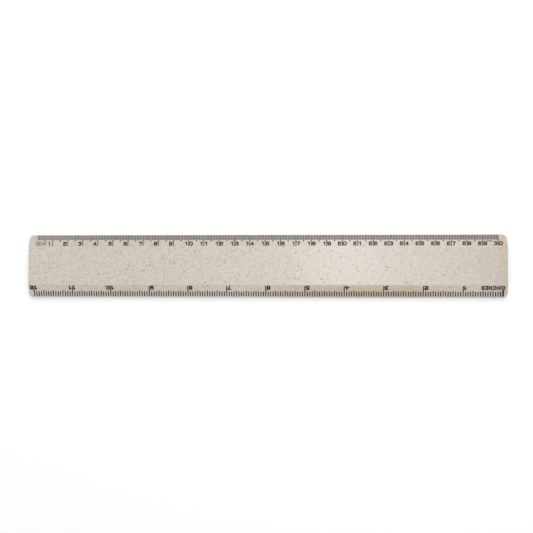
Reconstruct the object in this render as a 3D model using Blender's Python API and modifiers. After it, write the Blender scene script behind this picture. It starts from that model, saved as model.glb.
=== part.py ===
"""A flat 30 cm and 12 inch ruler: one moulded blade, with its scales printed on two sloping edges.

The blade lies on its flat back, with +Z up and its length along X. The centimetre scale runs along
the +Y edge and reads upright. The inch scale runs along the -Y edge and reads upright when the
ruler is turned half a turn, so both scales are drawn in one way, with the edge above the figures.
Every print is a thin film of ink that lies just clear of the slope under it.
"""

import math
from collections import namedtuple

import bmesh
import bpy
from mathutils import Matrix, Vector
from mathutils.geometry import delaunay_2d_cdt

MM = 0.001

# Driving dimensions of the blade
LENGTH = 311.4 * MM
WIDTH = 40.8 * MM
THICKNESS = 3.0 * MM
EDGE_THICKNESS = 1.0 * MM
SLOPE_WIDTH = 8.3 * MM
CORNER_RADIUS = 3.1 * MM
CORNER_SEGMENTS = 8
EDGE_ROUNDING = 0.2 * MM
CUTTER_MARGIN = 12.0 * MM  # how far a cutter runs past the blade

# Driving dimensions of the ink
INK_THICKNESS = 0.05 * MM
INK_CLEARANCE = 0.05 * MM
HAIRLINE = 0.1 * MM  # the thin line that holds one print together

# Centimetre scale: a line every millimetre, longer at 5 mm and at 1 cm
CENTIMETRES = 30
CENTIMETRE_ZERO = -150.0 * MM  # where zero is, along the scale's own direction
CENTIMETRE_LINE = 0.64 * MM
CENTIMETRE_INSET = 0.14 * MM  # from the blade's edge to the outer end of each line
MILLIMETRE_REACH = 3.4 * MM  # from the blade's edge to the inner end of each line
HALF_CENTIMETRE_REACH = 4.4 * MM
CENTIMETRE_REACH = 7.4 * MM
SIGN_STEP = 295  # the line over the millimetre sign stays short

# Inch scale: sixteen lines an inch, longer at each quarter and at each inch
INCH = 25.4 * MM
INCHES = 12
INCH_ZERO = -152.8 * MM
INCH_LINE = 0.72 * MM
INCH_ZERO_LINE = 1.24 * MM
INCH_INSET = 0.7 * MM
SIXTEENTH_REACH = 3.85 * MM
QUARTER_REACH = 4.3 * MM
INCH_REACH = 7.5 * MM
INCH_ZERO_REACH = 4.8 * MM  # the zero line ends at the zero

# Lettering: foot and thread are distances from the blade's edge. The thread is a hairline that
# joins a row of figures into one piece, and a figure whose foot is above it hangs on a short stub.
Lettering = namedtuple("Lettering", "width height stroke foot thread")
CENTIMETRE_FIGURES = Lettering(2.3 * MM, 2.7 * MM, 0.68 * MM, 7.1 * MM, 7.6 * MM)
CENTIMETRE_SIGN = Lettering(1.88 * MM, 2.55 * MM, 0.46 * MM, 6.97 * MM, 6.97 * MM)
MILLIMETRE_SIGN = Lettering(0.8 * MM, 1.2 * MM, 0.27 * MM, 4.75 * MM, 4.75 * MM)
INCH_FIGURES = Lettering(2.4 * MM, 2.8 * MM, 0.78 * MM, 7.6 * MM, 7.6 * MM)
INCH_SIGN = Lettering(2.1 * MM, 2.75 * MM, 0.74 * MM, 7.6 * MM, 7.6 * MM)

# Gaps from the middle of a line to the figures on both sides. one is added before a figure 1,
# which is narrower than the others, and lone is added again where the 1 stands alone.
Gaps = namedtuple("Gaps", "before one lone after")
CENTIMETRE_GAPS = Gaps(0.66 * MM, 0.28 * MM, 0.75 * MM, 0.44 * MM)
INCH_GAPS = Gaps(0.62 * MM, 0.0, 0.0, 0.54 * MM)

CENTIMETRE_ZERO_OFFSET = 0.08 * MM  # from the zero line to the middle of the zero
CENTIMETRE_WORD_START = 1.26 * MM  # from the zero line to the unit word
INCH_ZERO_OFFSET = -0.12 * MM
INCH_WORD_START = 1.3 * MM
LETTER_SPACING = 0.3 * MM
MILLIMETRE_SIGN_START = 292.7 * MM

# Strokes of each figure, on a grid 2 wide and 4 tall
STROKES = {
    "0": [[(0, 0), (2, 0), (2, 4), (0, 4), (0, 0)]],
    "1": [[(0.3, 3.4), (1.15, 4), (1.15, 0)]],
    "2": [[(0, 4), (2, 4), (2, 2), (0, 2), (0, 0), (2, 0)]],
    "3": [[(0, 4), (2, 4), (2, 0), (0, 0)], [(0.6, 2), (2, 2)]],
    "4": [[(1.4, 0), (1.4, 4), (0, 1.2), (2, 1.2)]],
    "5": [[(2, 4), (0, 4), (0, 2.2), (2, 2.2), (2, 0), (0, 0)]],
    "6": [[(2, 4), (0, 4), (0, 0), (2, 0), (2, 2), (0, 2)]],
    "7": [[(0, 4), (2, 4), (0.8, 0)]],
    "8": [[(0, 0), (2, 0), (2, 4), (0, 4), (0, 0)], [(0, 2), (2, 2)]],
    "9": [[(0, 0), (2, 0), (2, 4), (0, 4), (0, 2), (2, 2)]],
    "C": [[(2, 4), (0, 4), (0, 0), (2, 0)]],
    "E": [[(2, 4), (0, 4), (0, 0), (2, 0)], [(0, 2), (1.6, 2)]],
    "H": [[(0, 0), (0, 4)], [(2, 0), (2, 4)], [(0, 2), (2, 2)]],
    "I": [[(0, 0), (0, 4)]],
    "M": [[(0, 0), (0, 4), (1.2, 1.6), (2.4, 4), (2.4, 0)]],
    "N": [[(0, 0), (0, 4), (2, 0), (2, 4)]],
    "S": [[(2, 4), (0, 4), (0, 2), (2, 2), (2, 0), (0, 0)]],
    "m": [[(0, 0), (0, 3), (5, 3), (5, 0)], [(2.5, 0), (2.5, 3)]],
}

SLOPE_ANGLE = math.atan2(THICKNESS - EDGE_THICKNESS, SLOPE_WIDTH)


def clear_scene():
    for item in list(bpy.data.objects):
        bpy.data.objects.remove(item, do_unlink=True)


def new_collection(name):
    collection = bpy.data.collections.new(name)
    bpy.context.scene.collection.children.link(collection)
    return collection


def principled(name, colour, roughness):
    material = bpy.data.materials.new(name)
    material.use_nodes = True
    shader = material.node_tree.nodes["Principled BSDF"]
    shader.inputs["Base Color"].default_value = (*colour, 1.0)
    shader.inputs["Roughness"].default_value = roughness
    shader.inputs["Metallic"].default_value = 0.0
    return material


def add_object(name, mesh, collection):
    item = bpy.data.objects.new(name, mesh)
    collection.objects.link(item)
    return item


def box_mesh(name, size):
    """A box of the given size, centred on its own origin."""
    mesh = bpy.data.meshes.new(name)
    work = bmesh.new()
    bmesh.ops.create_cube(work, size=1.0, matrix=Matrix.Diagonal((*size, 1.0)))
    work.to_mesh(mesh)
    work.free()
    return mesh


def slope_frame(turned):
    """The frame of a sloping edge: X along the scale, +Y out to the edge, +Z out of the slope.

    The inch scale's frame is the centimetre scale's, turned half a turn about Z.
    """
    place = Matrix.Translation((0.0, WIDTH / 2, EDGE_THICKNESS))
    tilt = Matrix.Rotation(-SLOPE_ANGLE, 4, "X")
    turn = Matrix.Rotation(math.pi if turned else 0.0, 4, "Z")
    return turn @ place @ tilt


# Blade: a plate with rounded corners, cut to a slope along both long edges


def slope_cutter(name, turned, collection):
    cutter_size = Vector((LENGTH + CUTTER_MARGIN * 2, SLOPE_WIDTH + CUTTER_MARGIN, THICKNESS * 2))
    cutter = add_object(name, box_mesh(name, cutter_size), collection)
    above_slope = Matrix.Translation((0.0, -SLOPE_WIDTH / 2, cutter_size.z / 2))
    cutter.matrix_world = slope_frame(turned) @ above_slope
    cutter.hide_render = True
    cutter.display_type = "WIRE"
    return cutter


def make_blade(parts, cutters):
    mesh = box_mesh("blade", (LENGTH, WIDTH, THICKNESS))
    work = bmesh.new()
    work.from_mesh(mesh)
    bmesh.ops.translate(work, verts=work.verts, vec=(0.0, 0.0, THICKNESS / 2))
    corners = [edge for edge in work.edges
               if abs(edge.verts[0].co.z - edge.verts[1].co.z) > THICKNESS / 2]
    bmesh.ops.bevel(work, geom=corners, offset=CORNER_RADIUS, offset_type="OFFSET",
                    segments=CORNER_SEGMENTS, profile=0.5, affect="EDGES")
    work.to_mesh(mesh)
    work.free()
    blade = add_object("blade", mesh, parts)
    for name, turned in (("centimetre_slope_cutter", False), ("inch_slope_cutter", True)):
        cut = blade.modifiers.new(name, "BOOLEAN")
        cut.operation = "DIFFERENCE"
        cut.solver = "EXACT"
        cut.object = slope_cutter(name, turned, cutters)
    rounding = blade.modifiers.new("edge_rounding", "BEVEL")
    rounding.limit_method = "ANGLE"
    rounding.angle_limit = math.radians(30)
    rounding.width = EDGE_ROUNDING
    rounding.segments = 2
    blade.data.materials.append(principled("moulded_fibre_plastic", (0.62, 0.56, 0.49), 0.45))
    return blade


# Ink: flat outlines in a slope's frame, made into thin films


def ink_film(name, outlines, turned, material, parts):
    """Joins flat outlines into one shape and gives it the thickness of the film."""
    points, faces = [], []
    for outline in outlines:
        faces.append(list(range(len(points), len(points) + len(outline))))
        points += [Vector(point) for point in outline]
    result = delaunay_2d_cdt(points, [], faces, 1, 1e-8)
    flat_points, flat_faces, sources = result[0], result[2], result[5]
    mesh = bpy.data.meshes.new(name)
    inside = [face for face, source in zip(flat_faces, sources) if source]
    mesh.from_pydata([(point.x, point.y, 0.0) for point in flat_points], [], inside)
    work = bmesh.new()
    work.from_mesh(mesh)
    loose = [vert for vert in work.verts if not vert.link_faces]
    bmesh.ops.delete(work, geom=loose, context="VERTS")
    bmesh.ops.dissolve_limit(work, angle_limit=math.radians(0.5), verts=work.verts, edges=work.edges)
    work.normal_update()
    for face in work.faces:
        if face.normal.z < 0:
            face.normal_flip()
    work.to_mesh(mesh)
    work.free()
    film = add_object(name, mesh, parts)
    film.matrix_world = slope_frame(turned) @ Matrix.Translation((0.0, 0.0, INK_CLEARANCE))
    thickness = film.modifiers.new("film_thickness", "SOLIDIFY")
    thickness.thickness = INK_THICKNESS
    thickness.offset = 1.0
    film.data.materials.append(material)
    return film


def on_slope(distance):
    """Turns a distance from the edge, seen from above, into the slope's own Y."""
    return -distance / math.cos(SLOPE_ANGLE)


def comb(lines, inset):
    """One outline for a row of lines, given as (middle, width, reach), hung from a hairline."""
    outer = on_slope(inset)
    root = outer - HAIRLINE
    outline = []
    for middle, width, reach in lines:
        left, right, tip = middle - width / 2, middle + width / 2, on_slope(reach)
        outline += [(left, root), (left, tip), (right, tip), (right, root)]
    outline[0] = (outline[0][0], outer)
    outline[-1] = (outline[-1][0], outer)
    return outline


def centimetre_lines():
    lines = []
    for step in range(CENTIMETRES * 10 + 1):
        reach = MILLIMETRE_REACH
        if step % 5 == 0 and step != SIGN_STEP:
            reach = HALF_CENTIMETRE_REACH
        if step % 10 == 0:
            reach = CENTIMETRE_REACH
        if step == 0:
            reach = MILLIMETRE_REACH  # the zero line stops short of the figure under it
        lines.append((CENTIMETRE_ZERO + step * MM, CENTIMETRE_LINE, reach))
    return lines


def inch_lines():
    lines = []
    for step in range(INCHES * 16 + 1):
        reach = SIXTEENTH_REACH
        if step % 4 == 0:
            reach = QUARTER_REACH
        if step % 16 == 0:
            reach = INCH_REACH
        width = INCH_LINE
        if step == 0:
            reach, width = INCH_ZERO_REACH, INCH_ZERO_LINE
        lines.append((INCH_ZERO + step * INCH / 16, width, reach))
    return lines


def figure_width(figure, lettering):
    widest = max(x for stroke in STROKES[figure] for x, _ in stroke)
    return (lettering.width - lettering.stroke) * widest / 2 + lettering.stroke


def rectangle(left, right, low, high):
    return [(left, low), (right, low), (right, high), (left, high)]


def figure_outlines(figure, left, lettering):
    """The strokes of one figure as rectangles, from its left side, and the stub that it hangs on."""
    half = lettering.stroke / 2
    cell = Vector((lettering.width - lettering.stroke, lettering.height - lettering.stroke))
    start = Vector((left + half, on_slope(lettering.foot) + half))
    outlines = []
    for stroke in STROKES[figure]:
        bends = [start + Vector((cell.x * x / 2, cell.y * y / 4)) for x, y in stroke]
        for a, b in zip(bends, bends[1:]):
            along = (b - a).normalized() * half
            across = Vector((-along.y, along.x))
            outlines.append([a - along - across, b + along - across,
                             b + along + across, a - along + across])
    lowest = min((bend for stroke in STROKES[figure] for bend in stroke), key=lambda bend: bend[1])
    stub = start.x + cell.x * lowest[0] / 2
    outlines.append(rectangle(stub - HAIRLINE / 2, stub + HAIRLINE / 2,
                              on_slope(lettering.thread), start.y))
    return outlines


def thread(outlines, place):
    """A hairline along a row of figures, which makes them one piece."""
    across = [point[0] for outline in outlines for point in outline]
    low = on_slope(place)
    return rectangle(min(across), max(across), low, low + HAIRLINE)


def number_outlines(value, middle, lettering, gaps):
    """The first figure stands before the middle of its line and the second after it."""
    figures = str(value)
    gap = gaps.before
    if figures[0] == "1":
        gap += gaps.one
    if value == 1:
        gap += gaps.lone
    outlines = figure_outlines(figures[0], middle - gap - figure_width(figures[0], lettering),
                               lettering)
    for figure in figures[1:]:
        outlines += figure_outlines(figure, middle + gaps.after, lettering)
    return outlines


def scale_outlines(count, zero, pitch, lettering, gaps):
    outlines = []
    for value in range(1, count + 1):
        outlines += number_outlines(value, zero + value * pitch, lettering, gaps)
    return outlines


def zero_outlines(middle, lettering):
    return figure_outlines("0", middle - lettering.width / 2, lettering)


def word_outlines(word, left, lettering):
    outlines = []
    for letter in word:
        outlines += figure_outlines(letter, left, lettering)
        left += figure_width(letter, lettering) + LETTER_SPACING
    return outlines


def print_lettering(name, outlines, lettering, turned, material, parts):
    ink_film(name, outlines + [thread(outlines, lettering.thread)], turned, material, parts)


def make_prints(parts):
    black = principled("printed_ink_black", (0.02, 0.02, 0.02), 0.5)
    grey = principled("printed_ink_grey", (0.12, 0.115, 0.11), 0.5)

    ink_film("centimetre_lines", [comb(centimetre_lines(), CENTIMETRE_INSET)], False, grey, parts)
    ink_film("inch_lines", [comb(inch_lines(), INCH_INSET)], True, black, parts)

    numbers = scale_outlines(CENTIMETRES, CENTIMETRE_ZERO, 10 * MM, CENTIMETRE_FIGURES,
                             CENTIMETRE_GAPS)
    print_lettering("centimetre_figures", numbers, CENTIMETRE_FIGURES, False, black, parts)
    numbers = scale_outlines(INCHES, INCH_ZERO, INCH, INCH_FIGURES, INCH_GAPS)
    print_lettering("inch_figures", numbers, INCH_FIGURES, True, black, parts)

    # Each scale starts with its zero and the sign of its unit
    sign = zero_outlines(CENTIMETRE_ZERO + CENTIMETRE_ZERO_OFFSET, CENTIMETRE_SIGN)
    sign += word_outlines("CM", CENTIMETRE_ZERO + CENTIMETRE_WORD_START, CENTIMETRE_SIGN)
    print_lettering("centimetre_zero_sign", sign, CENTIMETRE_SIGN, False, grey, parts)
    sign = zero_outlines(INCH_ZERO + INCH_ZERO_OFFSET, INCH_SIGN)
    sign += word_outlines("INCHES", INCH_ZERO + INCH_WORD_START, INCH_SIGN)
    print_lettering("inch_zero_sign", sign, INCH_SIGN, True, black, parts)
    sign = word_outlines("mm", CENTIMETRE_ZERO + MILLIMETRE_SIGN_START, MILLIMETRE_SIGN)
    print_lettering("millimetre_sign", sign, MILLIMETRE_SIGN, False, black, parts)


clear_scene()
part_collection = new_collection("flat_ruler")
cutter_collection = new_collection("flat_ruler_cutters")
make_blade(part_collection, cutter_collection)
make_prints(part_collection)
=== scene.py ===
import math
from collections import namedtuple

import bmesh
import bpy
from mathutils import Matrix, Vector
from mathutils.geometry import delaunay_2d_cdt


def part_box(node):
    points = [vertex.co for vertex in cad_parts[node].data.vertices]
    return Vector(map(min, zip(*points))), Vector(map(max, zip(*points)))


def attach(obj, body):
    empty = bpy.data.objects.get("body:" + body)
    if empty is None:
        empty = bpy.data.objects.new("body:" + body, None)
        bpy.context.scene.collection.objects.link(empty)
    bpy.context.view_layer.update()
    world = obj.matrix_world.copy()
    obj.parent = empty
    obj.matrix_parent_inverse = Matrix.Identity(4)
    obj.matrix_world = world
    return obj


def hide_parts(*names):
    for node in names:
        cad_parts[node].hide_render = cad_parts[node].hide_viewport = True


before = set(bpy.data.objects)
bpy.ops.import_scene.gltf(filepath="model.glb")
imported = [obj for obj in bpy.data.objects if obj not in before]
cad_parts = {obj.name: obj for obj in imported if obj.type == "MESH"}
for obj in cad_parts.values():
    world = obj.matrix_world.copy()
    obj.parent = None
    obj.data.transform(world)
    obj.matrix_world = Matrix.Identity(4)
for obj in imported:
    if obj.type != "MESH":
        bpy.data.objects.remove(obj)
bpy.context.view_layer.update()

MM = 0.001

# ---------------------------------------------------------------------------------------------
# Blade. One flat injection moulding of pale plastic filled with chopped plant straw, solid all
# through. Both long edges slope down to a thin rim, and the four corners are rounded.
# ---------------------------------------------------------------------------------------------

blade_low, blade_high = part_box("blade")
BLADE_LENGTH = blade_high.x - blade_low.x
BLADE_WIDTH = blade_high.y - blade_low.y
BLADE_THICKNESS = blade_high.z - blade_low.z
RIM_THICKNESS = 1.0 * MM
SLOPE_WIDTH = 8.3 * MM
CORNER_RADIUS = 3.1 * MM
CORNER_STEPS = 24
MOULD_ROUNDING = 0.2 * MM
ROUNDING_SEGMENTS = 3
ROUNDED_ANGLE = math.radians(30)
SHARP_ANGLE = math.radians(10)
MERGE_DISTANCE = 0.001 * MM
SLOPE_ANGLE = math.atan2(BLADE_THICKNESS - RIM_THICKNESS, SLOPE_WIDTH)

# The block that cuts a slope is this many times as long as the blade
CUTTER_OVERHANG = 1.2

STRAW_BEIGE = (0.548, 0.499, 0.448, 1.0)
STRAW_WARM = (0.560, 0.493, 0.424, 1.0)
STRAW_COOL = (0.522, 0.488, 0.446, 1.0)
STREAK_TAN = (0.940, 0.838, 0.745, 1.0)
TINT_LOWEST = (0.95, 0.975, 0.92)
TINT_RANGE = (0.10, 0.05, 0.16)
HUSK_PALE = (0.700, 0.650, 0.570, 1.0)
HUSK_TAN = (0.350, 0.256, 0.185, 1.0)
HUSK_RUST = (0.400, 0.255, 0.200, 1.0)
HUSK_BROWN = (0.250, 0.165, 0.112, 1.0)
HUSK_DARK = (0.135, 0.082, 0.055, 1.0)

# Five grades of straw, with a sliver in some of the cells of a grid. Cell, length and width are
# in mm. Share is the part of the cells that holds a sliver, and crowding adds to it at the end
# with the centimetre zero. A proud grade also stands a little out of the surface.
Husk = namedtuple("Husk", "colour strength cell length width share crowding proud seed")
HUSKS = (
    Husk(HUSK_PALE, 0.45, 3.1, 2.2, 0.80, 0.50, 0.00, True, 1),
    Husk(HUSK_TAN, 0.50, 2.6, 1.9, 1.10, 0.35, 0.30, True, 2),
    Husk(HUSK_RUST, 0.50, 4.2, 1.8, 1.10, 0.30, 0.20, False, 5),
    Husk(HUSK_BROWN, 0.60, 2.4, 1.2, 0.75, 0.14, 0.38, True, 3),
    Husk(HUSK_DARK, 0.66, 5.5, 1.1, 0.75, 0.14, 0.25, True, 4))
HUSK_EDGE = (1.25, 0.60)
HUSK_PRESENCE = (0.0, 0.02)
HUSK_RAGGEDNESS = 0.9
SMALLEST_HUSK = 0.5
HUSK_GROWTH = 0.9
CELL_FLATNESS = 0.35
SEED_STRIDE = (7.3, 3.1, 0.0)
FULL_LEAN = (2.0, 2.0, 0.6)
HALF_LEAN_BACK = (-1.0, -1.0, -0.3)

# Where the blade's colour changes, in mm along or across the blade: each change starts at the
# first place and is complete at the second. The change across the centimetre slope is painted
# shade.
CROWDED_SPAN = (110.0, -90.0)
PALER_SPAN = (-95.0, -20.0)
DARKER_SPAN = (110.0, 150.0)
SLOPE_SHADE_EDGE = (11.8, 12.6)
SLOPE_SHADE_FAINTER_SPAN = (10.0, 45.0)
STREAK_EDGE = (-12.0, -14.5)
STREAK_START = (-14.0, 42.0)
STREAK_END = (135.0, 85.0)
STREAK_TIP = (144.0, 154.0)


class Wire:
    """One output of a node. Arithmetic on it adds Math nodes, and node() adds any other node."""

    def __init__(self, tree, socket=None):
        self.tree = tree
        self.socket = socket

    def node(self, kind, settings=None, values=None, output=0):
        made = self.tree.nodes.new(kind)
        for name, value in (settings or {}).items():
            setattr(made, name, value)
        for name, value in (values or {}).items():
            self.feed(made.inputs[name], value)
        return Wire(self.tree, made.outputs[output])

    def feed(self, socket, value):
        for item in value if isinstance(value, list) else [value]:
            if isinstance(item, Wire):
                self.tree.links.new(item.socket, socket)
            else:
                socket.default_value = item

    def beside(self, name):
        """Another output of the same node."""
        return Wire(self.tree, self.socket.node.outputs[name])

    def math(self, operation, *values):
        return self.node("ShaderNodeMath", {"operation": operation}, dict(enumerate(values)))

    def vector(self, operation, *values, output=0):
        values = dict(enumerate(values))
        return self.node("ShaderNodeVectorMath", {"operation": operation}, values, output)

    def blend(self, factor, first, second, kind="MIX"):
        """Mixes two colours. The Mix node keeps its colours in sockets 6 and 7 and output 2."""
        return self.node("ShaderNodeMix", {"data_type": "RGBA", "blend_type": kind},
                         {0: factor, 6: first, 7: second}, 2)

    def step(self, low, high):
        """Rises smoothly from 0 at low to 1 at high, or falls where low is the larger."""
        values = {"Value": self, "From Min": low, "From Max": high}
        return self.node("ShaderNodeMapRange", {"interpolation_type": "SMOOTHSTEP"}, values)

    def __add__(self, other):
        return self.math("ADD", self, other)

    def __sub__(self, other):
        return self.math("SUBTRACT", self, other)

    def __mul__(self, other):
        return self.math("MULTIPLY", self, other)

    def __truediv__(self, other):
        return self.math("DIVIDE", self, other)

    def __mod__(self, other):
        return self.math("MODULO", self, other)

    def __rsub__(self, other):
        return self.math("SUBTRACT", other, self)

    __radd__ = __add__
    __rmul__ = __mul__


def new_material(name):
    """A material with an empty tree: a Wire to build it with, and its shader's inputs."""
    material = bpy.data.materials.new(name)
    material.use_nodes = True
    tree = material.node_tree
    tree.nodes.clear()
    shader = tree.nodes.new("ShaderNodeBsdfPrincipled")
    surface = tree.nodes.new("ShaderNodeOutputMaterial")
    tree.links.new(shader.outputs["BSDF"], surface.inputs["Surface"])
    return material, Wire(tree), shader.inputs


def millimetres(start):
    """The place on a piece, in mm."""
    metres = start.node("ShaderNodeTexCoord", output="Object")
    return start.node("ShaderNodeVectorMath", {"operation": "SCALE"},
                      {0: metres, "Scale": 1 / MM})


def husk_flecks(place, husk, share):
    """Slivers of straw of one grade, each turned its own way: 1 on a sliver and 0 between.

    The cells are deeper than they are wide, so that most of the slivers reach the surface.
    """
    shrink = (1 / husk.cell, 1 / husk.cell, CELL_FLATNESS / husk.cell)
    apart = tuple(husk.seed * stride for stride in SEED_STRIDE)
    cell_place = place.vector("MULTIPLY_ADD", place, shrink, apart)
    nearest = place.node("ShaderNodeTexVoronoi", {"voronoi_dimensions": "3D"},
                         {"Vector": cell_place, "Scale": 1.0}, "Position")
    chance = nearest.beside("Color")
    offset = place.vector("SUBTRACT", cell_place, nearest)
    lean = place.vector("MULTIPLY_ADD", chance, FULL_LEAN, HALF_LEAN_BACK)
    direction = place.vector("NORMALIZE", lean)
    along = place.vector("DOT_PRODUCT", offset, direction, output="Value") * husk.cell
    reach = place.vector("LENGTH", offset, output="Value") * husk.cell
    across = reach * reach - along * along
    shape = (along * along) / (husk.length ** 2 / 4) + across / (husk.width ** 2 / 4)
    size_chance = chance.node("ShaderNodeSeparateColor", None, {"Color": chance}, "Blue")
    present_chance = size_chance.beside("Green")
    sliver = (shape / (size_chance * HUSK_GROWTH + SMALLEST_HUSK)).step(*HUSK_EDGE)
    return sliver * (share - present_chance).step(*HUSK_PRESENCE)


def fibre_plastic():
    """Beige plastic with cloudy patches, a fine grain and slivers of straw.

    The scale of each noise is in waves a millimetre.
    """
    material, start, shader = new_material("straw_filled_plastic")
    place = millimetres(start)
    along = start.node("ShaderNodeSeparateXYZ", None, {"Vector": place}, "X")
    across = along.beside("Y")

    def noise(scale, detail, roughness=0.5, output="Fac"):
        values = {"Vector": place, "Scale": scale, "Detail": detail, "Roughness": roughness}
        return start.node("ShaderNodeTexNoise", None, values, output)

    warm_patches = noise(0.09, 4.0).step(0.38, 0.65) * 0.5
    cool_patches = noise(0.16, 4.0).step(0.45, 0.72) * 0.4
    colour = start.blend(warm_patches, STRAW_BEIGE, STRAW_WARM)
    colour = start.blend(cool_patches, colour, STRAW_COOL)
    tint = start.vector("MULTIPLY_ADD", noise(1.0, 2.0, 0.6, "Color"), TINT_RANGE, TINT_LOWEST)
    colour = start.blend(1.0, colour, tint, "MULTIPLY")

    # Painted shade: the whole centimetre slope is darkened, a little less from the middle of the
    # blade on
    painted_slope_shade = across.step(*SLOPE_SHADE_EDGE) * (0.125 - along.step(*SLOPE_SHADE_FAINTER_SPAN) * 0.055)
    cloud = noise(0.32, 3.0, 0.6) - 0.5
    mottle = noise(0.85, 2.0, 0.6) - 0.5
    grain = noise(2.2, 2.0, 0.6) - 0.5
    paler = along.step(*PALER_SPAN) * 0.03 - along.step(*DARKER_SPAN) * 0.065
    shade = cloud * 0.20 + mottle * 0.42 + grain * 0.50 + paler - painted_slope_shade + 0.970
    grey_shade = start.node("ShaderNodeCombineColor", None,
                            {"Red": shade, "Green": shade, "Blue": shade})
    colour = start.blend(1.0, colour, grey_shade, "MULTIPLY")

    # The inch slope is browner from about the middle of the blade to near its far end, and the
    # far end of the blade is a little browner all across
    streak = across.step(*STREAK_EDGE) * along.step(*STREAK_START) * along.step(*STREAK_END)
    streak = streak.math("MAXIMUM", streak, along.step(*STREAK_TIP) * 0.5)
    colour = start.blend(streak, colour, STREAK_TAN, "MULTIPLY")

    crowded = along.step(*CROWDED_SPAN)
    ragged = start.vector("MULTIPLY_ADD", noise(1.6, 2.0, 0.5, "Color"),
                          (HUSK_RAGGEDNESS,) * 3, place)
    slivers = 0.0
    for husk in HUSKS:
        flecks = husk_flecks(ragged, husk, crowded * husk.crowding + husk.share)
        colour = start.blend(flecks * husk.strength, colour, husk.colour)
        if husk.proud:
            slivers = slivers + flecks
    start.feed(shader["Base Color"], colour)

    start.feed(shader["Roughness"], noise(1.4, 3.0) * 0.08 + slivers * 0.10 + 0.20)
    shader["Specular IOR Level"].default_value = 0.5
    height = noise(6.0, 2.0) * 0.25 + noise(0.35, 2.0) * 1.2 + slivers * 0.5
    relief = start.node("ShaderNodeBump", None,
                        {"Strength": 0.35, "Distance": 0.012 * MM, "Height": height})
    start.feed(shader["Normal"], relief)
    return material


def slope_frame(turned):
    """The frame of a sloping edge: X along its scale, +Y out to the rim, +Z out of the slope.

    The inch scale's frame is the centimetre scale's, turned half a turn about Z.
    """
    turn = Matrix.Rotation(math.pi if turned else 0.0, 4, "Z")
    place = Matrix.Translation((0.0, BLADE_WIDTH / 2, RIM_THICKNESS))
    return turn @ place @ Matrix.Rotation(-SLOPE_ANGLE, 4, "X")


def new_tree(name, sockets):
    """A Geometry Nodes tree with named inputs: its Wire, its inputs and its output node."""
    tree = bpy.data.node_groups.new(name, "GeometryNodeTree")
    for label, kind in sockets.items():
        tree.interface.new_socket(label, in_out="INPUT", socket_type="NodeSocket" + kind)
    tree.interface.new_socket("Geometry", in_out="OUTPUT", socket_type="NodeSocketGeometry")
    source = tree.nodes.new("NodeGroupInput")
    inputs = {label: Wire(tree, source.outputs[label]) for label in sockets}
    return Wire(tree), inputs, tree.nodes.new("NodeGroupOutput").inputs["Geometry"]


def mesh_from_tree(name, tree, values):
    """Runs a Geometry Nodes tree with its inputs set, and gives back the plain mesh."""
    holder = bpy.data.objects.new(name + "_maker", bpy.data.meshes.new(name + "_maker"))
    bpy.context.scene.collection.objects.link(holder)
    modifier = holder.modifiers.new(name, "NODES")
    modifier.node_group = tree
    for item in tree.interface.items_tree:
        if item.in_out == "INPUT":
            modifier[item.identifier] = values[item.name]
    depsgraph = bpy.context.evaluated_depsgraph_get()
    mesh = bpy.data.meshes.new_from_object(holder.evaluated_get(depsgraph))
    bpy.data.objects.remove(holder)
    mesh.name = name
    return mesh


def slab(start, width, height, radius, steps, thickness):
    """A closed flat slab with rounded corners, from z = 0 up."""
    outline = start.node("GeometryNodeCurvePrimitiveQuadrilateral", None,
                         {"Width": width, "Height": height})
    outline = start.node("GeometryNodeFilletCurve", {"mode": "POLY"},
                         {"Curve": outline, "Count": steps, "Radius": radius})
    base = start.node("GeometryNodeFillCurve", {"mode": "NGONS"}, {"Curve": outline})
    raised = start.node("GeometryNodeExtrudeMesh", None,
                        {"Mesh": base, "Offset Scale": thickness, "Individual": False})
    under = start.node("GeometryNodeFlipFaces", None, {"Mesh": base})
    both = start.node("GeometryNodeJoinGeometry", None, {"Geometry": [raised, under]})
    return start.node("GeometryNodeMergeByDistance", None,
                      {"Geometry": both, "Distance": MERGE_DISTANCE})


def blade_tree():
    """A rounded slab with both long edges cut down to the rim."""
    start, given, result = new_tree("sloped_blade", {
        "Length": "Float", "Width": "Float", "Thickness": "Float", "Corner Radius": "Float",
        "Corner Steps": "Int", "Rim Thickness": "Float", "Slope Angle": "Float",
        "Material": "Material"})
    body = slab(start, given["Length"], given["Width"], given["Corner Radius"],
                given["Corner Steps"], given["Thickness"])
    depth = given["Thickness"] * 2
    size = start.node("ShaderNodeCombineXYZ", None,
                      {"X": given["Length"] * CUTTER_OVERHANG, "Y": given["Width"], "Z": depth})
    block = start.node("GeometryNodeMeshCube", None, {"Size": size})
    seat = start.node("ShaderNodeCombineXYZ", None, {"Z": depth / 2})
    block = start.node("GeometryNodeTransform", None, {"Geometry": block, "Translation": seat})
    cutters = []
    for side in (1, -1):
        tilt = start.node("ShaderNodeCombineXYZ", None, {"X": given["Slope Angle"] * -side})
        rim = start.node("ShaderNodeCombineXYZ", None,
                         {"Y": given["Width"] * (side / 2), "Z": given["Rim Thickness"]})
        cutters.append(start.node("GeometryNodeTransform", None,
                                  {"Geometry": block, "Translation": rim, "Rotation": tilt}))
    cut = start.node("GeometryNodeMeshBoolean", {"operation": "DIFFERENCE", "solver": "EXACT"},
                     {"Mesh 1": body, "Mesh 2": cutters})
    cut = start.node("GeometryNodeRealizeInstances", None, {"Geometry": cut})
    cut = start.node("GeometryNodeSetMaterial", None,
                     {"Geometry": cut, "Material": given["Material"]})
    start.feed(result, cut)
    return start.tree


def add_piece(name, mesh):
    """A finished piece at the origin, with its place in its mesh."""
    piece = bpy.data.objects.new(name, mesh)
    bpy.context.scene.collection.objects.link(piece)
    return piece


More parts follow.
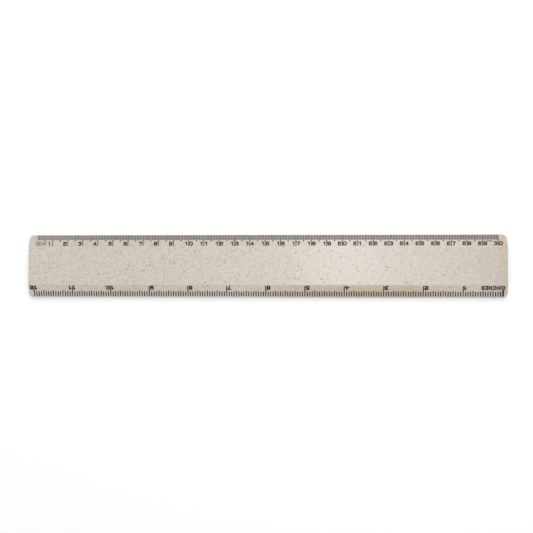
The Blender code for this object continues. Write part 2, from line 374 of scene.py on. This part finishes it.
straw_plastic = fibre_plastic()
blade_mesh = mesh_from_tree("straw_blade", blade_tree(), {
    "Length": BLADE_LENGTH, "Width": BLADE_WIDTH, "Thickness": BLADE_THICKNESS,
    "Corner Radius": CORNER_RADIUS, "Corner Steps": CORNER_STEPS,
    "Rim Thickness": RIM_THICKNESS, "Slope Angle": SLOPE_ANGLE, "Material": straw_plastic})
blade = add_piece("straw_blade", blade_mesh)
rounding = blade.modifiers.new("mould_rounding", "BEVEL")
rounding.limit_method = "ANGLE"
rounding.angle_limit = ROUNDED_ANGLE
rounding.width = MOULD_ROUNDING
rounding.segments = ROUNDING_SEGMENTS
blade.data.shade_smooth()
blade.data.set_sharp_from_angle(angle=SHARP_ANGLE)
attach(blade, "root")
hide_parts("blade")

# ---------------------------------------------------------------------------------------------
# Centimetre lines. Worn black ink, pad-printed on the +Y slope: one line a millimetre, out to
# the rim, longer at each 5 mm and each centimetre. The film stands about 0.025 mm proud.
# ---------------------------------------------------------------------------------------------

INK_THICKNESS = 0.045 * MM
INK_SUNK = 0.02 * MM
INK_BLACK = (0.010, 0.0085, 0.0075, 1.0)
INK_SOFT = (0.026, 0.022, 0.019, 1.0)
INK_WORN = (0.110, 0.096, 0.086, 1.0)
INK_WORN_SOFT = (0.155, 0.139, 0.126, 1.0)
INK_THIN = (0.180, 0.163, 0.146, 1.0)

# Along a scale, in mm: the ink is thinnest at one place and full again at another
THINNEST_PLACE = -141.0
BLACK_FULL_PLACE = -131.0
WORN_FULL_PLACE = -95.0
THINNEST_SHARE = 0.8

CENTIMETRE = 10.0 * MM
CENTIMETRES = 30
STEPS_A_CENTIMETRE = 10
CENTIMETRE_ZERO = -150.0 * MM
CENTIMETRE_LINE = 0.74 * MM
CENTIMETRE_INSET = 0.14 * MM
CENTIMETRE_SHORT = 3.4 * MM
CENTIMETRE_MIDDLE = 4.4 * MM
CENTIMETRE_LONG = 7.4 * MM

# The 5 mm line over the millimetre sign stays short, to clear the letters. The inch scale has
# no such line.
MILLIMETRE_SIGN_STEP = 295
NO_SIGN_STEP = -1

# A line's corner radius and the spread of the lines' widths are both shares of its width
LINE_CORNER = 0.22
LINE_CORNER_STEPS = 2
LINE_SPREAD = 0.06
LINE_SEED = 5
SAME_STEP = 0.1


def printed_ink(name, dark, faded, full_place):
    """Ink in two shades, thin at the start of the centimetre scale up to full_place, in mm."""
    material, start, shader = new_material(name)
    place = millimetres(start)
    along = start.node("ShaderNodeSeparateXYZ", None, {"Vector": place}, "X")
    across = along.beside("Y")

    def noise(scale, detail):
        return start.node("ShaderNodeTexNoise", None,
                          {"Vector": place, "Scale": scale, "Detail": detail})

    worn = noise(0.9, 4.0).step(0.45, 0.75) * 0.5
    thin = along.step(full_place, THINNEST_PLACE) * across.step(0.0, 5.0) * THINNEST_SHARE
    pinholes = noise(7.0, 2.0).step(0.70, 0.78) * 0.5
    colour = start.blend(worn, dark, faded)
    colour = start.blend(thin, colour, INK_THIN)
    colour = start.blend(pinholes, colour, STRAW_BEIGE)
    start.feed(shader["Base Color"], colour)
    start.feed(shader["Roughness"], noise(3.0, 2.0) * 0.2 + 0.45)
    shader["Specular IOR Level"].default_value = 0.3
    relief = start.node("ShaderNodeBump", None, {
        "Strength": 0.3, "Distance": 0.006 * MM, "Height": noise(9.0, 2.0)})
    start.feed(shader["Normal"], relief)
    return material


def line_tree():
    """Lines printed side by side, each square to the rim, in four lengths."""
    start, given, result = new_tree("printed_lines", {
        "Steps": "Int", "Pitch": "Float", "Zero Place": "Float", "Line Width": "Float",
        "Inset": "Float", "Short Reach": "Float", "Middle Reach": "Float", "Long Reach": "Float",
        "Middle Every": "Int", "Long Every": "Int", "Sign Step": "Int", "Zero Width": "Float",
        "Zero Reach": "Float", "Thickness": "Float", "Sunk": "Float", "Ink": "Material"})
    first = start.node("ShaderNodeCombineXYZ", None, {"X": given["Zero Place"]})
    stride = start.node("ShaderNodeCombineXYZ", None, {"X": given["Pitch"]})
    row = start.node("GeometryNodeMeshLine", {"mode": "OFFSET"}, {
        "Count": given["Steps"] + 1, "Start Location": first, "Offset": stride})
    index = start.node("GeometryNodeInputIndex")
    is_zero = index.math("COMPARE", index, 0.0, SAME_STEP)
    by_sign = index.math("COMPARE", index, given["Sign Step"], SAME_STEP)
    on_long = index.math("COMPARE", index % given["Long Every"], 0.0, SAME_STEP)
    on_middle = index.math("COMPARE", index % given["Middle Every"], 0.0, SAME_STEP)
    on_middle = on_middle * (1 - by_sign)
    is_long = on_long * (1 - is_zero)
    is_middle = on_middle * (1 - is_long) * (1 - is_zero)
    is_short = (1 - on_middle) * (1 - is_long) * (1 - is_zero)
    spread = start.node("FunctionNodeRandomValue", {"data_type": "FLOAT"},
                        {"Min": 1 - LINE_SPREAD, "Max": 1 + LINE_SPREAD, "Seed": LINE_SEED}, 1)
    spread = start.node("ShaderNodeCombineXYZ", None, {"X": spread, "Y": 1.0, "Z": 1.0})
    groups = []
    for chosen, width, reach in (
            (is_short, given["Line Width"], given["Short Reach"]),
            (is_middle, given["Line Width"], given["Middle Reach"]),
            (is_long, given["Line Width"], given["Long Reach"]),
            (is_zero, given["Zero Width"], given["Zero Reach"])):
        line = slab(start, width, reach - given["Inset"], width * LINE_CORNER,
                    LINE_CORNER_STEPS, given["Thickness"])
        seat = start.node("ShaderNodeCombineXYZ", None, {
            "Y": (reach + given["Inset"]) * -0.5, "Z": given["Sunk"] * -1})
        line = start.node("GeometryNodeTransform", None, {"Geometry": line, "Translation": seat})
        groups.append(start.node("GeometryNodeInstanceOnPoints", None, {
            "Points": row, "Selection": chosen, "Instance": line, "Scale": spread}))
    lines = start.node("GeometryNodeJoinGeometry", None, {"Geometry": groups})
    lines = start.node("GeometryNodeRealizeInstances", None, {"Geometry": lines})
    start.feed(result, start.node("GeometryNodeSetMaterial", None,
                                  {"Geometry": lines, "Material": given["Ink"]}))
    return start.tree


def on_slope(distance):
    """Turns a distance from the rim, seen from above, into a distance down the slope."""
    return distance / math.cos(SLOPE_ANGLE)


printed_lines = line_tree()


def print_lines(name, turned, sizes):
    """One scale's lines, laid on its slope."""
    mesh = mesh_from_tree(name, printed_lines, {
        **sizes, "Thickness": INK_THICKNESS, "Sunk": INK_SUNK})
    mesh.transform(slope_frame(turned))
    return add_piece(name, mesh)


black_ink = printed_ink("printed_black_ink", INK_BLACK, INK_SOFT, BLACK_FULL_PLACE)
worn_ink = printed_ink("worn_black_ink", INK_WORN, INK_WORN_SOFT, WORN_FULL_PLACE)
centimetre_lines = print_lines("centimetre_lines_ink", False, {
    "Steps": CENTIMETRES * STEPS_A_CENTIMETRE, "Pitch": CENTIMETRE / STEPS_A_CENTIMETRE,
    "Zero Place": CENTIMETRE_ZERO, "Line Width": CENTIMETRE_LINE,
    "Inset": on_slope(CENTIMETRE_INSET), "Short Reach": on_slope(CENTIMETRE_SHORT),
    "Middle Reach": on_slope(CENTIMETRE_MIDDLE), "Long Reach": on_slope(CENTIMETRE_LONG),
    "Middle Every": STEPS_A_CENTIMETRE // 2, "Long Every": STEPS_A_CENTIMETRE,
    "Sign Step": MILLIMETRE_SIGN_STEP, "Zero Width": CENTIMETRE_LINE,
    "Zero Reach": on_slope(CENTIMETRE_SHORT), "Ink": worn_ink})
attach(centimetre_lines, "root")
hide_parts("centimetre_lines")

# ---------------------------------------------------------------------------------------------
# Centimetre figures, 1 to 30. Black ink, pad-printed in plain square-shouldered numerals, with
# their feet towards the middle of the blade. One figure stands before its line, two straddle it.
# ---------------------------------------------------------------------------------------------

# A stroke is a run of corners in a cell 2 wide and 4 high, and M and m are wider than the cell.
# A third number is the size of that corner's bend, and the other corners have the usual one.
CELL_WIDE = 2
CELL_HIGH = 4
USUAL_BEND = 0.8
BEND_STEPS = 6
FIGURE_STROKES = {
    "0": [[(0, 0), (2, 0), (2, 4), (0, 4), (0, 0)]],
    "1": [[(0.3, 3.4), (1.15, 4, 0), (1.15, 0)]],
    "2": [[(0, 3.3), (0, 4), (2, 4), (2, 2.1), (0, 2.1), (0, 0, 0.2), (2, 0)]],
    "3": [[(0, 3.7), (0, 4), (2, 4), (2, 2.1), (0.9, 2.1)],
          [(0.9, 2.1), (2, 2.1), (2, 0), (0, 0), (0, 0.4)]],
    "4": [[(1.45, 0), (1.45, 4, 0), (0, 1.2, 0), (2.1, 1.2)]],
    "5": [[(1.9, 4), (0.1, 4, 0), (0.1, 2.3, 0.2), (2, 2.3), (2, 0), (0, 0), (0, 0.6)]],
    "6": [[(1.9, 3.4), (1.9, 4), (0, 4), (0, 0), (2, 0), (2, 2.2), (0, 2.2)]],
    "7": [[(0, 4), (2, 4, 0), (0.8, 0)]],
    "8": [[(0, 0), (2, 0), (2, 4), (0, 4), (0, 0)], [(0, 2.1), (2, 2.1)]],
    "9": [[(0.1, 0.6), (0.1, 0), (2, 0), (2, 4), (0, 4), (0, 1.8), (2, 1.8)]],
    "C": [[(2, 3.4), (2, 4), (0, 4), (0, 0), (2, 0), (2, 0.6)]],
    "E": [[(1.9, 4), (0, 4, 0), (0, 0, 0), (1.9, 0)], [(0, 2), (1.6, 2)]],
    "H": [[(0, 0), (0, 4)], [(2, 0), (2, 4)], [(0, 2), (2, 2)]],
    "I": [[(0, 0), (0, 4)]],
    "M": [[(0, 0), (0, 4, 0), (1.2, 1.2, 0), (2.4, 4, 0), (2.4, 0)]],
    "N": [[(0, 0), (0, 4, 0), (2, 0, 0), (2, 4)]],
    "S": [[(2, 3.7), (2, 4), (0, 4), (0, 2.1), (2, 2.1), (2, 0), (0, 0), (0, 0.3)]],
    "m": [[(0, 0), (0, 3), (5, 3), (5, 0)], [(2.5, 0), (2.5, 3)]],
}

# The foot is as far from the rim as this. The gaps are before a line, more before a narrow 1,
# more again where that 1 stands alone, and after a line.
Lettering = namedtuple("Lettering", "width height stroke foot")
Gaps = namedtuple("Gaps", "before one lone after")
FINE_LETTERING = Lettering(2.30 * MM, 2.70 * MM, 0.68 * MM, 7.10 * MM)
FINE_GAPS = Gaps(0.66 * MM, 0.28 * MM, 0.75 * MM, 0.44 * MM)

SHARPEST_MITRE = 0.45
JOIN_TOLERANCE = 1e-5
INSIDE_SHAPES = 1


def bend_points(corners, closed):
    """Follows the corners of a stroke, with a curve in place of each corner that bends."""
    places = [Vector(corner[:2]) for corner in corners]
    bends = [corner[2] if len(corner) > 2 else USUAL_BEND for corner in corners]
    if closed:
        places, bends = places[:-1], bends[:-1]
    points = []
    for k, (corner, bend) in enumerate(zip(places, bends)):
        if not closed and k in (0, len(places) - 1):
            points.append(corner)
            continue
        before, after = places[k - 1], places[(k + 1) % len(places)]
        back, ahead = before - corner, after - corner
        cut = min(bend, back.length / 2, ahead.length / 2)
        if cut == 0:
            points.append(corner)
            continue
        first, last = corner + back.normalized() * cut, corner + ahead.normalized() * cut
        for step in range(BEND_STEPS + 1):
            t = step / BEND_STEPS
            points.append(first * (1 - t) ** 2 + corner * (2 * t * (1 - t)) + last * t ** 2)
    return points


def ribbon(points, closed, half):
    """Flat triangles along a stroke, as wide as the pen, all turned the same way."""
    count = len(points)
    sides = []
    for k, point in enumerate(points):
        before = points[k - 1] if closed or k > 0 else point
        after = points[(k + 1) % count] if closed or k < count - 1 else point
        into = (point - before).normalized() if point != before else (after - point).normalized()
        out = (after - point).normalized() if point != after else into
        normal = Vector((-into.y - out.y, into.x + out.x)).normalized()
        mitre = max(SHARPEST_MITRE, normal.dot(Vector((-out.y, out.x))))
        sides.append((point + normal * (half / mitre), point - normal * (half / mitre)))
    pairs = list(zip(sides, sides[1:] + sides[:1])) if closed else list(zip(sides, sides[1:]))
    triangles = []
    for a, b in pairs:
        for piece in ([a[0], a[1], b[1]], [a[0], b[1], b[0]]):
            turn = (piece[1] - piece[0]).cross(piece[2] - piece[1])
            if turn:
                triangles.append(piece if turn > 0 else piece[::-1])
    return triangles


def figure_width(figure, lettering):
    """The width of one figure, with the thickness of its strokes."""
    widest = max(corner[0] for stroke in FIGURE_STROKES[figure] for corner in stroke)
    return (lettering.width - lettering.stroke) * widest / CELL_WIDE + lettering.stroke


def figure_shapes(figure, left, lettering):
    """The flat pieces of one figure, from its left side on."""
    half = lettering.stroke / 2
    cell_x = (lettering.width - lettering.stroke) / CELL_WIDE
    cell_y = (lettering.height - lettering.stroke) / CELL_HIGH
    base = Vector((left + half, half - on_slope(lettering.foot)))
    shapes = []
    for stroke in FIGURE_STROKES[figure]:
        closed = stroke[0][:2] == stroke[-1][:2]
        points = bend_points(stroke, closed)
        points = [base + Vector((point.x * cell_x, point.y * cell_y)) for point in points]
        if not closed:
            first, last = points[0] - points[1], points[-1] - points[-2]
            points[0] = points[0] + first.normalized() * half
            points[-1] = points[-1] + last.normalized() * half
        shapes += ribbon(points, closed, half)
    return shapes


def ink_print(name, shapes, turned, ink):
    """Joins flat shapes into one closed film of ink on a slope."""
    corners, faces = [], []
    for shape in shapes:
        faces.append(list(range(len(corners), len(corners) + len(shape))))
        corners += [corner * (1 / MM) for corner in shape]
    joined = delaunay_2d_cdt(corners, [], faces, INSIDE_SHAPES, JOIN_TOLERANCE)
    points, triangles, sources = joined[0], joined[2], joined[5]
    inside = [triangle for triangle, source in zip(triangles, sources) if source]

    # The film's underside comes first and its top second, with a wall along each outer edge
    used = sorted({corner for triangle in inside for corner in triangle})
    number = {corner: k for k, corner in enumerate(used)}
    top = [[number[corner] + len(used) for corner in triangle] for triangle in inside]
    under = [[number[corner] for corner in reversed(triangle)] for triangle in inside]
    sides = [side for a, b, c in under for side in ((b, a), (c, b), (a, c))]
    inner = set(sides)
    walls = [[a, b, b + len(used), a + len(used)] for a, b in sides if (b, a) not in inner]
    film = [(points[corner].x * MM, points[corner].y * MM, height)
            for height in (-INK_SUNK, INK_THICKNESS - INK_SUNK) for corner in used]
    mesh = bpy.data.meshes.new(name)
    mesh.from_pydata(film, [], under + top + walls)
    mesh.transform(slope_frame(turned))
    mesh.materials.append(ink)
    return add_piece(name, mesh)


def number_shapes(value, middle, lettering, gaps):
    """The first figure stands before the middle of its line and the second after it."""
    figures = str(value)
    gap = gaps.before
    if figures[0] == "1":
        gap += gaps.one
    if value == 1:
        gap += gaps.lone
    before = middle - gap - figure_width(figures[0], lettering)
    shapes = figure_shapes(figures[0], before, lettering)
    for figure in figures[1:]:
        shapes += figure_shapes(figure, middle + gaps.after, lettering)
    return shapes


centimetre_shapes = []
for value in range(1, CENTIMETRES + 1):
    line_place = CENTIMETRE_ZERO + value * CENTIMETRE
    centimetre_shapes += number_shapes(value, line_place, FINE_LETTERING, FINE_GAPS)
centimetre_figures = ink_print("centimetre_figures_ink", centimetre_shapes, False, black_ink)
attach(centimetre_figures, "root")
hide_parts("centimetre_figures")

# ---------------------------------------------------------------------------------------------
# Centimetre zero and its unit sign, printed together at the start of the scale. The ink is
# thinner and greyer here, because the printing pad leaves less at its end.
# ---------------------------------------------------------------------------------------------

GREY_INK = (0.090, 0.080, 0.072, 1.0)
GREY_INK_FADED = (0.180, 0.163, 0.145, 1.0)
THIN_LETTERING = Lettering(1.92 * MM, 2.60 * MM, 0.58 * MM, 6.97 * MM)
LETTER_SPACING = 0.28 * MM
CENTIMETRE_ZERO_OFFSET = 0.08 * MM
CENTIMETRE_WORD_START = 1.26 * MM


def word_shapes(word, left, lettering):
    """The flat pieces of a word, from its left side on."""
    shapes = []
    for letter in word:
        shapes += figure_shapes(letter, left, lettering)
        left += figure_width(letter, lettering) + LETTER_SPACING
    return shapes


grey_ink = printed_ink("printed_grey_ink", GREY_INK, GREY_INK_FADED, BLACK_FULL_PLACE)
zero_left = CENTIMETRE_ZERO + CENTIMETRE_ZERO_OFFSET - THIN_LETTERING.width / 2
sign_shapes = figure_shapes("0", zero_left, THIN_LETTERING)
sign_shapes += word_shapes("CM", CENTIMETRE_ZERO + CENTIMETRE_WORD_START, THIN_LETTERING)
centimetre_sign = ink_print("centimetre_zero_sign_ink", sign_shapes, False, grey_ink)
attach(centimetre_sign, "root")
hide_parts("centimetre_zero_sign")

# ---------------------------------------------------------------------------------------------
# Millimetre sign. Two very small letters in black ink, pad-printed with the figures and tucked
# under the lines between 29 and 30.
# ---------------------------------------------------------------------------------------------

TINY_LETTERING = Lettering(0.80 * MM, 1.20 * MM, 0.27 * MM, 4.75 * MM)
TINY_START = 292.7 * MM

tiny_shapes = word_shapes("mm", CENTIMETRE_ZERO + TINY_START, TINY_LETTERING)
millimetre_sign = ink_print("millimetre_sign_ink", tiny_shapes, False, black_ink)
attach(millimetre_sign, "root")
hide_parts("millimetre_sign")

# ---------------------------------------------------------------------------------------------
# Inch lines. Black ink, pad-printed on the -Y slope, sixteen lines an inch, a little longer at
# each quarter and long at each inch. The zero line is nearly twice as wide as the others.
# ---------------------------------------------------------------------------------------------

INCH = 25.4 * MM
INCHES = 12
STEPS_AN_INCH = 16
INCH_ZERO = -152.8 * MM
INCH_LINE = 0.72 * MM
INCH_INSET = 0.70 * MM
INCH_SHORT = 3.85 * MM
INCH_MIDDLE = 4.3 * MM
INCH_LONG = 7.5 * MM
INCH_ZERO_LINE = 1.24 * MM
INCH_ZERO_REACH = 4.8 * MM

inch_lines = print_lines("inch_lines_ink", True, {
    "Steps": INCHES * STEPS_AN_INCH, "Pitch": INCH / STEPS_AN_INCH, "Zero Place": INCH_ZERO,
    "Line Width": INCH_LINE, "Inset": on_slope(INCH_INSET), "Short Reach": on_slope(INCH_SHORT),
    "Middle Reach": on_slope(INCH_MIDDLE), "Long Reach": on_slope(INCH_LONG),
    "Middle Every": STEPS_AN_INCH // 4, "Long Every": STEPS_AN_INCH, "Sign Step": NO_SIGN_STEP,
    "Zero Width": INCH_ZERO_LINE, "Zero Reach": on_slope(INCH_ZERO_REACH), "Ink": black_ink})
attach(inch_lines, "root")
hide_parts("inch_lines")

# ---------------------------------------------------------------------------------------------
# Inch figures, 1 to 12. Black ink, pad-printed in a bolder cut of the same numerals, which are
# read from the inch side.
# ---------------------------------------------------------------------------------------------

BOLD_LETTERING = Lettering(2.40 * MM, 2.80 * MM, 0.78 * MM, 7.60 * MM)
BOLD_GAPS = Gaps(0.62 * MM, 0.0, 0.0, 0.54 * MM)

inch_shapes = []
for value in range(1, INCHES + 1):
    line_place = INCH_ZERO + value * INCH
    inch_shapes += number_shapes(value, line_place, BOLD_LETTERING, BOLD_GAPS)
inch_figures = ink_print("inch_figures_ink", inch_shapes, True, black_ink)
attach(inch_figures, "root")
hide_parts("inch_figures")

# ---------------------------------------------------------------------------------------------
# Inch zero and its unit word. The same black ink, pad-printed side by side at the start of the
# inch scale, in letters a little narrower than the figures.
# ---------------------------------------------------------------------------------------------

WORD_LETTERING = Lettering(2.10 * MM, 2.75 * MM, 0.74 * MM, 7.60 * MM)
INCH_ZERO_OFFSET = -0.12 * MM
INCH_WORD_START = 1.3 * MM

zero_left = INCH_ZERO + INCH_ZERO_OFFSET - WORD_LETTERING.width / 2
inch_sign_shapes = figure_shapes("0", zero_left, WORD_LETTERING)
inch_sign_shapes += word_shapes("INCHES", INCH_ZERO + INCH_WORD_START, WORD_LETTERING)
inch_sign = ink_print("inch_zero_sign_ink", inch_sign_shapes, True, black_ink)
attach(inch_sign, "root")
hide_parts("inch_zero_sign")

# ---------------------------------------------------------------------------------------------
# Studio. A white table in a light tent, with a large softbox beyond the centimetre edge and a
# long narrow one overhead, which puts the soft highlight on the flat of the blade.
# ---------------------------------------------------------------------------------------------

TABLE_SIZE = 3.0
TABLE_SAG = -0.02 * MM
TABLE_WHITE = (0.90, 0.90, 0.90, 1.0)
TENT_WHITE = (1.0, 1.0, 1.0, 1.0)
TENT_STRENGTH = 0.83
FAR_SOFTBOX_PLACE = Vector((0.0, 1.5, 0.5))
FAR_SOFTBOX_SIZE = (1.5, 0.6)
FAR_SOFTBOX_RADIANCE = 6.0
OVERHEAD_PLACE = Vector((0.128, 0.27, 1.0))
OVERHEAD_SIZE = (0.13, 0.75)
OVERHEAD_RADIANCE = 6.2

table_mesh = bpy.data.meshes.new("white_table")
table_work = bmesh.new()
bmesh.ops.create_grid(table_work, x_segments=8, y_segments=8, size=TABLE_SIZE / 2)
bmesh.ops.translate(table_work, verts=table_work.verts, vec=(0.0, 0.0, TABLE_SAG))
table_work.to_mesh(table_mesh)
table_work.free()
white_table = add_piece("white_table", table_mesh)
table_paint, table_start, table_shader = new_material("white_table_paint")
table_shader["Base Color"].default_value = TABLE_WHITE
table_shader["Roughness"].default_value = 0.9
table_shader["Specular IOR Level"].default_value = 0.1
table_mesh.materials.append(table_paint)

tent = bpy.data.worlds.new("light_tent")
tent.use_nodes = True
tent_light = tent.node_tree.nodes["Background"].inputs
tent_light["Color"].default_value = TENT_WHITE
tent_light["Strength"].default_value = TENT_STRENGTH
bpy.context.scene.world = tent


def softbox(name, place, aim, size, radiance):
    """A rectangular lamp of even brightness, aimed at a point."""
    lamp = bpy.data.lights.new(name, "AREA")
    lamp.shape = "RECTANGLE"
    lamp.size, lamp.size_y = size
    lamp.energy = radiance * math.pi * lamp.size * lamp.size_y
    stand = bpy.data.objects.new(name, lamp)
    stand.location = place
    stand.rotation_euler = (aim - place).to_track_quat("-Z", "Y").to_euler()
    bpy.context.scene.collection.objects.link(stand)


below = Vector((OVERHEAD_PLACE.x, OVERHEAD_PLACE.y, 0.0))
softbox("far_softbox", FAR_SOFTBOX_PLACE, Vector(), FAR_SOFTBOX_SIZE, FAR_SOFTBOX_RADIANCE)
softbox("overhead_softbox", OVERHEAD_PLACE, below, OVERHEAD_SIZE, OVERHEAD_RADIANCE)

# The camera looks straight down from about half a metre, very slightly to one side
CAMERA_DISTANCE = 450.0 * MM
CAMERA_SIDE_TILT = math.radians(-2.13)
CAMERA_FRONT_TILT = math.radians(-1.77)
CAMERA_ROLL = math.radians(-0.066)
CAMERA_SHIFT = Vector((-0.80 * MM, 0.26 * MM, 0.0))
CAMERA_LENS = 46.53
CAMERA_SENSOR = 36.0
CAMERA_CLIP = (0.01, 10.0)

camera = bpy.data.cameras.new("camera")
camera.sensor_width = CAMERA_SENSOR
camera.lens = CAMERA_LENS
camera.clip_start, camera.clip_end = CAMERA_CLIP
camera_stand = bpy.data.objects.new("camera", camera)
turn = (Matrix.Rotation(CAMERA_FRONT_TILT, 4, "X") @ Matrix.Rotation(CAMERA_SIDE_TILT, 4, "Y")
        @ Matrix.Rotation(CAMERA_ROLL, 4, "Z"))
away = Matrix.Translation(CAMERA_SHIFT - Vector((0.0, 0.0, CAMERA_DISTANCE)))
camera_stand.matrix_world = (away @ turn).inverted()
bpy.context.scene.collection.objects.link(camera_stand)
bpy.context.scene.camera = camera_stand
bpy.context.scene.view_settings.view_transform = "Standard"
